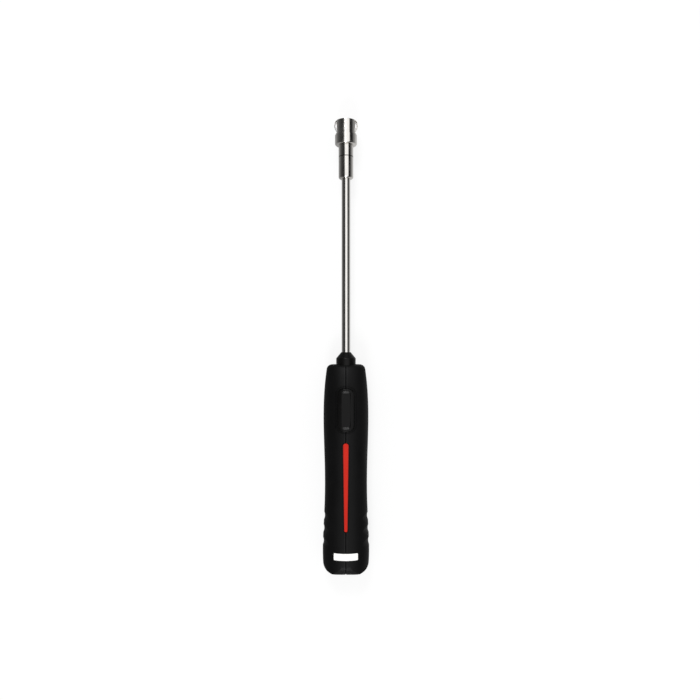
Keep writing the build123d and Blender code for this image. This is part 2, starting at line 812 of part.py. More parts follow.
for name, side, kept in (("positive_ribbon", 1, Keep.TOP), ("negative_ribbon", -1, Keep.BOTTOM)):
    with BuildPart() as ribbon:
        add(band(ribbon_width, 0, 0, 0))
        split(bisect_by=Plane.YZ.offset(side * junction_length / 2), keep=kept)
    finish(ribbon.part, name)

with BuildPart() as measuring_junction:
    add(band(ribbon_width, 0, 0, 0))
    with Locations((0, tip, axis_height)):
        Box(junction_length, band_thickness * 4, beyond, mode=Mode.INTERSECT)
finish(measuring_junction.part, "measuring_junction")

with BuildPart() as side_springs:
    for side in (-1, 1):
        add(band(strip_width, side * strip_offset, strip_drop, strip_tuck))
    with Locations((0, tip - strip_drop, axis_height)):
        Box(junction_length, band_thickness, 2 * strip_offset,
            align=(Align.CENTER, Align.MAX, Align.CENTER))
finish(side_springs.part, "side_springs")

for name, side in (("positive_lead", 1), ("negative_lead", -1)):
    with BuildPart() as lead:
        with BuildSketch(across(lead_end)):
            with Locations((side * lead_offset, 0)):
                Circle(lead_radius)
        extrude(amount=lead_end - lead_foot)
    finish(lead.part, name)
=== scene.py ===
"""Surface contact thermometer: the looks of every piece, a studio and a camera.

Lengths are in metres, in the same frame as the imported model: X across the tool, Y along it
towards the contact tip, Z from its flat back up to its front.
"""

import json
import math

import bmesh
import bpy
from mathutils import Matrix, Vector


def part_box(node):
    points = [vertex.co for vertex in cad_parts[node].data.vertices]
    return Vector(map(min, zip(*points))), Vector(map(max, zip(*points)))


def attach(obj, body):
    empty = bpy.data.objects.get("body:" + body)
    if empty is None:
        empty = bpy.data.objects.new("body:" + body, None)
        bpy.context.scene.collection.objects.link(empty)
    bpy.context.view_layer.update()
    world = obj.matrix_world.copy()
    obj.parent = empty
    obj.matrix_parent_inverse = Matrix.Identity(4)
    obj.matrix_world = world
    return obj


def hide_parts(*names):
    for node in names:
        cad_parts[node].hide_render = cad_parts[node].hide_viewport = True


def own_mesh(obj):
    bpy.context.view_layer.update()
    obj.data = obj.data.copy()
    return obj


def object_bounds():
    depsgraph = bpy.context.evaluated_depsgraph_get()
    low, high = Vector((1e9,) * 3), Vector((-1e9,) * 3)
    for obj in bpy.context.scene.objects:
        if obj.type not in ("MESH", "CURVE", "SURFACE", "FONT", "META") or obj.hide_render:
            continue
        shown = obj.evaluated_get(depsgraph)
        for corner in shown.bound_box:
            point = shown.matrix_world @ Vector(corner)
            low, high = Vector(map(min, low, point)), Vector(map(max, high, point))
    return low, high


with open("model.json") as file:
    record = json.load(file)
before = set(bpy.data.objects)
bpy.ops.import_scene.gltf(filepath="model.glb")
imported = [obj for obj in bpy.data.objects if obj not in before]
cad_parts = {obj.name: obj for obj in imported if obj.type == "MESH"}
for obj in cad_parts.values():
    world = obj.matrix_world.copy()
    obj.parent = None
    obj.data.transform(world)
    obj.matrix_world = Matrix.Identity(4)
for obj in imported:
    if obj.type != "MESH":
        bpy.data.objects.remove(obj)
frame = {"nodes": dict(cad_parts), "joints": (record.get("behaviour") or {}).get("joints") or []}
cad_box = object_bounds()

bl_info = {
    "name": "Contact Thermometer",
    "version": (1, 0, 0),
    "blender": (4, 5, 0),
    "location": "3D View > Sidebar > Thermometer",
    "description": "Gives a surface contact thermometer its finishes, sprung bands and a studio",
    "category": "Object",
}

MM = 0.001
INLAY_TAPER = 0.575         # width of the inlay's foot end as a share of its nose end
ARCH_STEPS = 24             # straight pieces that make up a band's arch
BEND_STEPS = 18             # straight pieces that make up each of a band's bends
FLOOR_REACH = 4.0
FLOOR_GAP = 0.2 * MM        # between the lowest point and the floor
NOSE_LAMP_PLACE = (-0.12, 0.72, 0.88)
FOOT_LAMP_PLACE = (-0.1, -0.84, 0.77)
STRIP_FADE = 0.03           # half the width of the strip light's soft edge, as the ramp's share
FLOOR_WHITE = 0.8           # how much of the plain white background the floor shows

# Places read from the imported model
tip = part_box("measuring_junction")[1].y
axis_height = (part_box("probe_tube")[0].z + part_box("probe_tube")[1].z) / 2


# ------------------------------------------------------------------ sizes and colours to change
def colour(label, value, note):
    """A linear colour that a user can change."""
    return bpy.props.FloatVectorProperty(name=label, description=note, subtype="COLOR", size=3,
                                         min=0, max=1, default=value)


def length(label, value, note):
    """A length in metres that a user can change."""
    return bpy.props.FloatProperty(name=label, description=note, unit="LENGTH", default=value,
                                   min=0, precision=5)


def share(label, value, note):
    """A share from 0 to 1 that a user can change."""
    return bpy.props.FloatProperty(name=label, description=note, subtype="FACTOR", default=value,
                                   min=0, max=1)


def amount(label, value, note):
    """A plain number that a user can change."""
    return bpy.props.FloatProperty(name=label, description=note, default=value, min=0)


class HandleSettings(bpy.types.PropertyGroup):
    """Colours and grain of what the hand holds."""
    shell: colour("Shell", (0.003, 0.003, 0.0031), "Moulded black of the two half shells")
    shell_roughness: share("Shell roughness", 0.52, "How matt the moulded grain is")
    grain: length("Grain", 0.34 * MM, "Size of one bump of the moulded grain")
    button: colour("Button", (0.0028, 0.0027, 0.0027), "Black of the press button")
    button_roughness: share("Button roughness", 0.29, "How matt the press button is")
    inlay: colour("Inlay", (0.5, 0.014, 0.005), "Red of the tapering inlay")
    label: colour("Label", (0.93, 0.92, 0.9), "White of the blank label plate")
    plug: colour("Plug", (0.004, 0.004, 0.004), "Black rubber of the foot plug")
    gland: colour("Gland", (0.003, 0.0028, 0.0027), "Black of the cone where the stem comes out")


class ProbeSettings(bpy.types.PropertyGroup):
    """Metals of the stem, its sleeves and the contact head."""
    steel: colour("Steel", (0.74, 0.72, 0.69), "Polished stainless steel")
    steel_roughness: share("Steel roughness", 0.14, "How dull the polished steel is")
    floor_plate: colour("Floor plate", (0.72, 0.6, 0.42), "Warm nickel alloy of the head's floor")
    brass: colour("Screws", (0.74, 0.56, 0.3), "Brass of the two head screws")
    bright_alloy: colour("Bright alloy", (0.86, 0.8, 0.66), "Cream metal of the positive band")
    dark_alloy: colour("Dark alloy", (0.17, 0.21, 0.22), "Grey-green metal of the negative band")
    spring: colour("Spring strips", (0.5, 0.45, 0.44), "Grey metal of the two side strips")
    ceramic: colour("Insulator", (0.72, 0.66, 0.54), "Ivory ceramic under the bands")


class BandSettings(bpy.types.PropertyGroup):
    """Shape of the sprung bands over the contact head."""
    thickness: length("Thickness", 0.15 * MM, "Thickness of every band")
    shoulder_reach: length("Shoulder reach", 5.2 * MM, "Half the width of the contact arch")
    shoulder_drop: length("Shoulder drop", 0.95 * MM, "Depth of the arch's ends under its top")
    flank_reach: length("Flank reach", 7.2 * MM, "Where a band is widest, from the axis")
    flank_drop: length("Flank drop", 5.4 * MM, "Depth of a band's widest place")
    root_reach: length("Root reach", 4.9 * MM, "Where a band is fastened, from the axis")
    root_drop: length("Root drop", 9.3 * MM, "Depth where a band is fastened")
    strip_width: length("Strip width", 1.1 * MM, "Width of a side strip")
    strip_drop: length("Strip drop", 0.2 * MM, "How far the side strips lie under the ribbon")
    strip_tuck: length("Strip tuck", 0.35 * MM, "How much narrower the side strips are bent")


class InsideSettings(bpy.types.PropertyGroup):
    """Colours of the pieces inside the handle."""
    jacket: colour("Cell jacket", (0.33, 0.36, 0.38), "Plain printed film round a cell")
    jacket_band: colour("Cell ring", (0.02, 0.16, 0.19), "Ring by a cell's positive end")
    laminate: colour("Board", (0.012, 0.07, 0.035), "Solder mask of the circuit board")
    gold: colour("Pads", (0.75, 0.55, 0.25), "Plated pads and tracks")
    moulding: colour("Moulding", (0.05, 0.05, 0.055), "Grey plastic of the cradle and blocks")
    epoxy: colour("Chip", (0.012, 0.012, 0.013), "Black epoxy of the chips")
    plating: colour("Plating", (0.6, 0.6, 0.58), "Bright plating of springs, screws and cans")
    red_wire: colour("Red wire", (0.4, 0.02, 0.015), "Woven sleeve of the negative lead")
    white_wire: colour("White wire", (0.75, 0.73, 0.68), "Woven sleeve of the positive lead")


class StudioSettings(bpy.types.PropertyGroup):
    """Camera, lamps and floor."""
    camera_height: length("Camera height", 0.4, "From the stem's axis straight up to the camera")
    camera_side: length("Camera side step", 2.6 * MM, "How far right of the tool the camera stands")
    camera_back: length("Camera back step", 3.0 * MM, "How far towards the foot the camera stands")
    view_width: length("View width", 0.4515, "Width that the camera sees at the stem's axis")
    sky: amount("Sky", 0.72, "Even light from all round")
    nose_lamp: amount("Nose lamp", 4.6, "Power of the lamp beyond the contact head, in watts")
    foot_lamp: amount("Foot lamp", 4.2, "Power of the lamp beyond the foot, in watts")
    lamp_size: length("Lamp size", 0.34, "Width of each round lamp")
    strip: amount("Strip light", 1.3, "Brightness of the long light that metal mirrors overhead")
    strip_spread: share("Strip spread", 0.31, "Width of the strip light, as a share of half a turn")
    strip_centre: share("Strip centre", 0.562, "Place of the strip light from left to right")
    dusk: amount("Dusk", 0.03, "Brightness of the dark sides that metal mirrors")
    floor_tone: share("Floor tone", 0.9, "How pale the floor is")


# ------------------------------------------------------------------ shader expressions
class Wire:
    """An output socket of a finish, to use in sums as if it were a number."""

    def __init__(self, finish, socket):
        self.finish = finish
        self.socket = socket

    def combine(self, operation, first, second):
        """Add the Math node of one operation."""
        return self.finish.node("ShaderNodeMath", {"operation": operation}, {0: first, 1: second})

    def __add__(self, other):
        return self.combine("ADD", self, other)

    def __radd__(self, other):
        return self.combine("ADD", other, self)

    def __sub__(self, other):
        return self.combine("SUBTRACT", self, other)

    def __rsub__(self, other):
        return self.combine("SUBTRACT", other, self)

    def __mul__(self, other):
        return self.combine("MULTIPLY", self, other)

    def __rmul__(self, other):
        return self.combine("MULTIPLY", other, self)

    def __truediv__(self, other):
        return self.combine("DIVIDE", self, other)

    def __rtruediv__(self, other):
        return self.combine("DIVIDE", other, self)

    def __pow__(self, other):
        return self.combine("POWER", self, other)

    def __abs__(self):
        return self.combine("ABSOLUTE", self, 0.0)


class Nodes:
    """The nodes of a material or of the sky."""

    def __init__(self, owner):
        owner.use_nodes = True
        self.tree = owner.node_tree
        self.tree.nodes.clear()

    def node(self, kind, settings=None, sockets=None, out=0):
        """Add a node of any kind: its settings first, then the values or links of its sockets."""
        made = self.tree.nodes.new(kind)
        for name, value in (settings or {}).items():
            if name == "stops":
                for _ in value[2:]:
                    made.color_ramp.elements.new(0.5)
                for stop, (where, level) in zip(made.color_ramp.elements, value):
                    stop.position = where
                    stop.color = (*level, 1.0)
            else:
                setattr(made, name, value)
        for name, value in (sockets or {}).items():
            if isinstance(value, Wire):
                self.tree.links.new(value.socket, made.inputs[name])
            else:
                made.inputs[name].default_value = value
        return Wire(self, made.outputs[out]) if made.outputs else None


class Finish(Nodes):
    """A material built up from nodes."""

    def __init__(self, name):
        self.material = bpy.data.materials.new(name)
        super().__init__(self.material)
        self.place = self.node("ShaderNodeTexCoord", out="Object")
        self.x, self.y, self.z = (
            self.node("ShaderNodeSeparateXYZ", {}, {0: self.place}, axis) for axis in "XYZ")

    def stretched(self, across, along, upright):
        """The place on the piece, with each direction scaled."""
        return self.node("ShaderNodeVectorMath", {"operation": "MULTIPLY"},
                         {0: self.place, 1: (across, along, upright)})

    def noise(self, size, detail=2.0, vector=None):
        """Soft noise from 0 to 1, with features of one size in metres."""
        return self.node("ShaderNodeTexNoise", {},
                         {"Vector": vector or self.place, "Scale": 1 / size, "Detail": detail})

    def cells(self, size):
        """Distance to the nearest of scattered points, one size apart."""
        return self.node("ShaderNodeTexVoronoi", {}, {"Vector": self.place, "Scale": 1 / size},
                         "Distance")

    def ramp(self, value, low, high, to_low=0.0, to_high=1.0, shape="SMOOTHSTEP"):
        """A smooth or straight change from one number to another over a range of a value."""
        return self.node("ShaderNodeMapRange", {"interpolation_type": shape},
                         {"Value": value, "From Min": low, "From Max": high,
                          "To Min": to_low, "To Max": to_high})

    def mix(self, factor, first, second):
        """A colour between two others."""
        pair = [value if isinstance(value, Wire) else (*value, 1.0) for value in (first, second)]
        return self.node("ShaderNodeMix", {"data_type": "RGBA"},
                         {"Factor": factor, "A": pair[0], "B": pair[1]}, "Result")

    def from_axis(self):
        """Distance from the axis of the stem."""
        upright = self.z - axis_height
        return (self.x * self.x + upright * upright) ** 0.5

    def bump(self, height, strength, depth, normal=None):
        """A normal that follows a height from 0 to 1, one depth in metres."""
        sockets = {"Height": height, "Strength": strength, "Distance": depth}
        if normal:
            sockets["Normal"] = normal
        return self.node("ShaderNodeBump", {}, sockets)

    def surface(self, **sockets):
        """Close the material with its shader, and return the material."""
        named = {}
        for name, value in sockets.items():
            if isinstance(value, tuple):
                value = (*value, 1.0)
            named[name.replace("_", " ")] = value
        shader = self.node("ShaderNodeBsdfPrincipled", {}, named)
        self.node_output(shader)
        return self.material

    def node_output(self, shader):
        """Make a shader the material's surface."""
        self.node("ShaderNodeOutputMaterial", {}, {"Surface": shader})


def tone(colour, factor):
    """A colour made lighter or darker, worked out in Python."""
    return tuple(min(1.0, part * factor) for part in colour)


def put(material, *nodes):
    """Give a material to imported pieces."""
    for node in nodes:
        for slot in frame["nodes"][node].material_slots:
            slot.material = material


# ------------------------------------------------------------------ finishes
def moulded_black(name, base, roughness, grain, depth=0.02 * MM):
    """Grained black plastic, a little polished where it is handled, with a parting groove that is
    painted darker as shade and has a painted highlight along its edges.
    """
    f = Finish(name)
    beside_seam = abs(f.x)
    # Height of the parting groove for the bump; it also sets where the painted shade inside the
    # groove falls.
    groove = f.ramp(beside_seam, 0.04 * MM, 0.42 * MM)
    # Painted highlight: a lighter band along both edges of the parting groove.
    painted_seam_highlight = (f.ramp(beside_seam, 0.3 * MM, 0.5 * MM)
           * f.ramp(beside_seam, 0.6 * MM, 1.1 * MM, 1.0, 0.0))
    pebbles = f.cells(grain)
    fine = f.noise(grain * 0.45, 1.0)
    handled = f.noise(16 * MM, 3.0)
    streaks = f.noise(5 * MM, 2.0, vector=f.stretched(1.0, 0.25, 1.0))
    height = pebbles * 0.7 + fine * 0.5
    dust = f.ramp(f.noise(0.5 * MM, 2.0), 0.7, 0.82)
    shade = f.mix(handled, tone(base, 0.85), tone(base, 1.2))
    shade = f.mix(dust * 0.1, shade, tone(base, 6.0))
    # Painted highlight along the groove's edges, then painted shade inside the groove.
    shade = f.mix(painted_seam_highlight * 0.7, shade, tone(base, 4.0))
    shade = f.mix(1 - groove, shade, tone(base, 0.3))
    dull = f.ramp(handled * 0.6 + streaks * 0.4, 0.3, 0.7, roughness - 0.06, roughness + 0.07)
    parting = f.bump(groove, 1.0, 0.34 * MM)
    return f.surface(Base_Color=shade, Roughness=dull, Specular_IOR_Level=0.11,
                     Normal=f.bump(height, 0.35, depth, parting))


def polished_black(name, base, roughness):
    """Smooth black plastic with faint marks of use."""
    f = Finish(name)
    marks = f.noise(4 * MM, 4.0, vector=f.stretched(1.0, 0.3, 1.0))
    fine = f.noise(0.2 * MM, 2.0)
    dust = f.ramp(f.noise(0.4 * MM, 2.0), 0.72, 0.82)
    shade = f.mix(f.noise(9 * MM), tone(base, 0.85), tone(base, 1.25))
    shade = f.mix(dust * 0.12, shade, tone(base, 7.0))
    dull = f.ramp(marks, 0.3, 0.7, roughness - 0.05, roughness + 0.08)
    return f.surface(Base_Color=shade, Roughness=dull, Specular_IOR_Level=0.12,
                     Normal=f.bump(fine, 0.12, 0.01 * MM))


def drawn_steel(name, base, roughness):
    """Bright tube with hair lines along its length and a few handling marks."""
    f = Finish(name)
    lines = f.noise(0.16 * MM, 3.0, vector=f.stretched(1.0, 0.012, 1.0))
    rings = f.noise(0.5 * MM, 2.0, vector=f.stretched(0.05, 1.0, 0.05))
    smear = f.noise(11 * MM, 3.0)
    scratch = f.ramp(f.noise(0.9 * MM, 1.0, vector=f.stretched(1.0, 0.03, 1.0)), 0.7, 0.74)
    shade = f.mix(smear, tone(base, 0.93), base)
    dull = f.ramp(lines * 0.5 + rings * 0.2 + smear * 0.4, 0.3, 0.8, roughness - 0.05,
                  roughness + 0.08)
    height = lines * 0.8 + scratch * 0.3
    return f.surface(Base_Color=shade, Metallic=1.0, Roughness=dull + scratch * 0.06,
                     Normal=f.bump(height, 0.08, 0.008 * MM))


def turned_steel(name, base, roughness, joint=None):
    """Lathe-turned steel: fine rings round the axis, and a dark line where two pieces meet."""
    f = Finish(name)
    radius = f.from_axis()
    rings = f.noise(0.11 * MM, 3.0, vector=f.stretched(0.02, 1.0, 0.02))
    faces = f.node("ShaderNodeTexNoise", {"noise_dimensions": "1D"},
                   {"W": radius, "Scale": 1 / (0.11 * MM), "Detail": 2.0})
    smear = f.noise(5 * MM, 3.0)
    shade = f.mix(smear, tone(base, 0.92), base)
    if joint is not None:
        line = f.ramp(abs(f.y - joint), 0.12 * MM, 0.4 * MM, 0.9, 0.0)
        shade = f.mix(line, shade, tone(base, 0.1))
    dull = f.ramp(rings * 0.5 + smear * 0.5, 0.3, 0.75, roughness - 0.05, roughness + 0.09)
    height = rings * 0.6 + faces * 0.6
    return f.surface(Base_Color=shade, Metallic=1.0, Roughness=dull,
                     Normal=f.bump(height, 0.1, 0.008 * MM))


def plated(name, base, roughness=0.26, grain=0.5 * MM):
    """Dull plating with fine mottling and rubbed spots."""
    f = Finish(name)
    mottle = f.noise(grain, 4.0)
    rubbed = f.noise(3 * MM, 3.0)
    shade = f.mix(f.ramp(rubbed, 0.35, 0.65), tone(base, 0.8), base)
    dull = f.ramp(mottle * 0.5 + rubbed * 0.5, 0.3, 0.7, roughness - 0.06, roughness + 0.12)
    return f.surface(Base_Color=shade, Metallic=1.0, Roughness=dull,
                     Normal=f.bump(mottle, 0.12, 0.01 * MM))


def rolled_alloy(name, base, roughness, tarnish):
    """Thin rolled strip: faint lines along it and a heat tint near its welded middle."""
    f = Finish(name)
    lines = f.noise(0.09 * MM, 2.0, vector=f.stretched(0.04, 0.04, 1.0))
    blotch = f.noise(1.6 * MM, 3.0)
    heat = f.ramp(abs(f.x), 0.5 * MM, 1.9 * MM, 1.0, 0.0)
    shade = f.mix(f.ramp(blotch, 0.35, 0.7), tone(base, 0.82), base)
    shade = f.mix(heat * 0.6, shade, tarnish)
    dull = f.ramp(lines * 0.5 + blotch * 0.5, 0.3, 0.7, roughness - 0.05, roughness + 0.1)
    return f.surface(Base_Color=shade, Metallic=1.0, Roughness=dull + heat * 0.08,
                     Normal=f.bump(lines, 0.15, 0.006 * MM))


def moulded_part(name, base, roughness=0.55):
    """Unpainted inner moulding with flow lines and a satin skin."""
    f = Finish(name)
    flow = f.noise(6 * MM, 3.0, vector=f.stretched(1.0, 0.35, 1.0))
    fine = f.noise(0.25 * MM, 2.0)
    shade = f.mix(flow, tone(base, 0.8), tone(base, 1.2))
    dull = f.ramp(flow, 0.3, 0.7, roughness - 0.07, roughness + 0.07)
    return f.surface(Base_Color=shade, Roughness=dull, Normal=f.bump(fine, 0.2, 0.015 * MM))


def woven_sleeve(name, base):
    """Glass braid round a thin lead."""
    f = Finish(name)
    turn = f.node("ShaderNodeMath", {"operation": "ARCTAN2"},
                  {0: abs(f.x) - 0.9 * MM, 1: f.z - axis_height})
    pitch = f.y * (1 / (0.16 * MM))
    left = f.node("ShaderNodeMath", {"operation": "SINE"}, {0: turn * 4.0 + pitch})
    right = f.node("ShaderNodeMath", {"operation": "SINE"}, {0: turn * 4.0 - pitch})
    braid = (left * right + 1.0) * 0.5
    shade = f.mix(braid, tone(base, 0.55), base)
    dull = f.ramp(f.noise(0.8 * MM), 0.3, 0.7, 0.6, 0.75)
    return f.surface(Base_Color=shade, Roughness=dull, Normal=f.bump(braid, 0.5, 0.05 * MM))


# ------------------------------------------------------------------ meshes of the sprung bands
def bend(start, end, heading):
    """Points of the arc that leaves start along a heading and reaches end, and its last heading."""
    span = end - start
    side = Vector((-heading.y, heading.x))
    radius = span.length_squared / (2 * span.dot(side))
    centre = start + side * radius
    arm = start - centre
    full = 2 * math.atan2(span.dot(side), span.dot(heading))
    points = []
    for step in range(1, BEND_STEPS + 1):
        turn = full * step / BEND_STEPS
        cos, sin = math.cos(turn), math.sin(turn)
        points.append(centre + Vector((arm.x * cos - arm.y * sin, arm.x * sin + arm.y * cos)))
    cos, sin = math.cos(full), math.sin(full)
    return points, Vector((heading.x * cos - heading.y * sin, heading.x * sin + heading.y * cos))


def band_line(shape, drop, tuck, start_reach):
    """Points, as (across, along), from the arch over its shoulder and down to the root."""
    top = tip - shape.thickness / 2 - drop
    rise = shape.shoulder_drop - shape.thickness / 2
    radius = (shape.shoulder_reach**2 + rise**2) / (2 * rise)
    spread = math.asin(shape.shoulder_reach / radius)
    first = math.asin(start_reach / radius)
    points = []
    for step in range(ARCH_STEPS + 1):
        angle = first + (spread - first) * step / ARCH_STEPS
        points.append(Vector((radius * math.sin(angle), top - radius * (1 - math.cos(angle)))))
    heading = Vector((math.cos(spread), -math.sin(spread)))
    flank = Vector((shape.flank_reach - tuck, tip - shape.flank_drop - drop))
    root = Vector((shape.root_reach - tuck, tip - shape.root_drop))
    outer, heading = bend(points[-1], flank, heading)
    inner, _ = bend(flank, root, heading)
    return points + outer + inner


def strip_mesh(name, lines, width, thickness, edge):
    """Flat spring strips with rounded long edges, swept along level lines at given offsets."""
    mesh = bpy.data.meshes.new(name)
    bm = bmesh.new()
    half, half_width = thickness / 2, width / 2
    profile = []
    corners = ((1, 1), (-1, 1), (-1, -1), (1, -1))
    for index, (out, up) in enumerate(corners):
        for step in range(4):
            angle = math.radians(90 * index + 30 * step)
            profile.append((out * (half - edge) + edge * math.cos(angle),
                            up * (half_width - edge) + edge * math.sin(angle)))
    for line, offset in lines:
        rings = []
        for index, point in enumerate(line):
            before = line[max(index - 1, 0)]
            after = line[min(index + 1, len(line) - 1)]
            heading = (after - before).normalized()
            outward = Vector((-heading.y, heading.x))
            ring = []
            for out, up in profile:
                spot = point + outward * out
                ring.append(bm.verts.new((spot.x, spot.y, axis_height + offset + up)))
            rings.append(ring)
        for first, second in zip(rings, rings[1:]):
            for index in range(len(profile)):
                after = (index + 1) % len(profile)
                bm.faces.new((first[index], first[after], second[after], second[index]))
        bm.faces.new(reversed(rings[0]))
        bm.faces.new(rings[-1])
    bmesh.ops.recalc_face_normals(bm, faces=bm.faces)
    bm.to_mesh(mesh)
    bm.free()
    piece = bpy.data.objects.new(name, mesh)
    bpy.context.scene.collection.objects.link(piece)
    mesh.shade_smooth()
    mesh.set_sharp_from_angle(angle=math.radians(50))
    return piece


def settle(piece, material, body, slot_name, *nodes):
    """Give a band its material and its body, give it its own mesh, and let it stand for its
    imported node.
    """
    shape = bpy.context.scene.thermometer_band
    piece.data.materials.append(material)
    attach(piece, body)
    press = next(joint for joint in frame["joints"] if joint["name"] == "contact_press")
    travel = press["range_m"][1]
    1 - travel / (shape.root_drop - shape.thickness / 2)
    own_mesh(piece)
    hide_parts(*nodes)


# ------------------------------------------------------------------ operators
class PieceOperator(bpy.types.Operator):
    """Make one piece, or several like ones."""
    bl_idname = "thermometer.piece"
    bl_label = "Piece"

    def execute(self, context):
        self.make(context.scene)
        return {"FINISHED"}


class THERMOMETER_OT_shells(PieceOperator):
    """Finish the two half shells and the battery door"""
    bl_idname = "thermometer.shells"
    bl_label = "Shells and Door"

    def make(self, scene):
        look = scene.thermometer_handle
        put(moulded_black("moulded_shell", tuple(look.shell), look.shell_roughness, look.grain),
            "left_shell", "right_shell", "battery_door")


class THERMOMETER_OT_button(PieceOperator):
    """Finish the press button"""
    bl_idname = "thermometer.button"
    bl_label = "Press Button"

    def make(self, scene):
        look = scene.thermometer_handle
        put(polished_black("satin_button", tuple(look.button), look.button_roughness),
            "record_button")


class THERMOMETER_OT_inlay(PieceOperator):
    """Finish the red inlay, with painted shade along its long sides"""
    bl_idname = "thermometer.inlay"
    bl_label = "Red Inlay"

    def make(self, scene):
        base = tuple(scene.thermometer_handle.inlay)
        f = Finish("red_gloss")
        flow = f.noise(7 * MM, 3.0, vector=f.stretched(1.0, 0.4, 1.0))
        specks = f.ramp(f.noise(0.3 * MM, 2.0), 0.66, 0.8)
        shade = f.mix(flow, tone(base, 0.86), tone(base, 1.1))
        shade = f.mix(specks * 0.25, shade, tone(base, 1.7))
        # Painted shade: the red is darkened towards its long sides, as if they were rounded away
        # from the light.
        low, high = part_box("red_inlay")
        half = f.ramp(f.y, low.y, high.y, high.x * INLAY_TAPER, high.x, "LINEAR")
        rim = f.ramp(abs(f.x) / half, 0.62, 0.95)
        shade = f.mix(rim, shade, tone(base, 0.12))
        dull = f.ramp(flow, 0.3, 0.7, 0.3, 0.4)
        put(f.surface(Base_Color=shade, Roughness=dull, Specular_IOR_Level=0.12, Coat_Weight=0.06,
                      Coat_Roughness=0.22,
                      Normal=f.bump(f.noise(0.4 * MM), 0.1, 0.01 * MM)), "red_inlay")


class THERMOMETER_OT_label(PieceOperator):
    """Finish the blank label plate"""
    bl_idname = "thermometer.label"
    bl_label = "Label Plate"

    def make(self, scene):
        base = tuple(scene.thermometer_handle.label)
        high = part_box("label_plate")[1]
        f = Finish("blank_label")
        fibre = f.noise(0.3 * MM, 3.0)
        inward = f.ramp(abs(f.x), high.x - 0.5 * MM, high.x, 1.0, 0.0)
        grime = f.noise(2 * MM, 3.0)
        shade = f.mix(grime, tone(base, 0.97), base)
        shade = f.mix((1 - inward) * 0.25, shade, tone(base, 0.75))
        put(f.surface(Base_Color=shade, Roughness=f.ramp(grime, 0.3, 0.7, 0.42, 0.52),
                      Normal=f.bump(fibre, 0.12, 0.01 * MM)), "label_plate")


class THERMOMETER_OT_plug(PieceOperator):
    """Finish the rubber foot plug"""
    bl_idname = "thermometer.plug"
    bl_label = "Foot Plug"

    def make(self, scene):
        base = tuple(scene.thermometer_handle.plug)
        f = Finish("plug_rubber")
        bloom = f.noise(1.5 * MM, 4.0)
        fine = f.noise(0.12 * MM, 2.0)
        shade = f.mix(f.ramp(bloom, 0.4, 0.75), base, tone(base, 2.2))
        put(f.surface(Base_Color=shade, Roughness=f.ramp(bloom, 0.3, 0.7, 0.62, 0.78),
                      Normal=f.bump(fine, 0.3, 0.02 * MM)), "foot_plug")


class THERMOMETER_OT_gland(PieceOperator):
    """Finish the cone that the stem comes out of"""
    bl_idname = "thermometer.gland"
    bl_label = "Nose Gland"

    def make(self, scene):
        base = tuple(scene.thermometer_handle.gland)
        f = Finish("turned_gland")
        rings = f.noise(0.16 * MM, 2.0, vector=f.stretched(0.03, 1.0, 0.03))
        mottle = f.noise(3 * MM, 3.0)
        shade = f.mix(mottle, tone(base, 0.8), tone(base, 1.3))
        dull = f.ramp(rings * 0.5 + mottle * 0.5, 0.3, 0.7, 0.3, 0.42)
        put(f.surface(Base_Color=shade, Roughness=dull, Specular_IOR_Level=0.14,
                      Normal=f.bump(rings, 0.22, 0.012 * MM)), "nose_gland")


class THERMOMETER_OT_stem(PieceOperator):
    """Finish the steel stem and its two sleeves"""
    bl_idname = "thermometer.stem"
    bl_label = "Stem and Sleeves"

    def make(self, scene):
        look = scene.thermometer_probe
        steel = tuple(look.steel)
        put(drawn_steel("drawn_stem", steel, look.steel_roughness), "probe_tube")
        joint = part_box("upper_collar")[0].y
        put(turned_steel("turned_sleeve", tone(steel, 0.98), look.steel_roughness - 0.02, joint),
            "lower_sleeve", "upper_collar")


class THERMOMETER_OT_head(PieceOperator):
    """Finish the head's cup, flange, floor, screws and insulator"""
    bl_idname = "thermometer.head"
    bl_label = "Contact Head"

    def make(self, scene):
        look = scene.thermometer_probe
        steel = tuple(look.steel)
        put(turned_steel("turned_head", steel, look.steel_roughness), "head_cup", "head_flange")
        put(turned_steel("nickel_floor", tuple(look.floor_plate), 0.28), "head_floor")
        put(plated("brass_screws", tuple(look.brass), 0.24, 0.25 * MM), "head_screws")
        base = tuple(look.ceramic)
        f = Finish("ivory_ceramic")
        speck = f.ramp(f.noise(0.22 * MM, 2.0), 0.64, 0.78)
        cloud = f.noise(1.4 * MM, 3.0)
        shade = f.mix(cloud, tone(base, 0.88), tone(base, 1.06))
        shade = f.mix(speck * 0.35, shade, tone(base, 0.5))
        put(f.surface(Base_Color=shade, Roughness=f.ramp(cloud, 0.3, 0.7, 0.42, 0.6),
                      Normal=f.bump(f.noise(0.1 * MM), 0.25, 0.012 * MM)), "insulator_block")


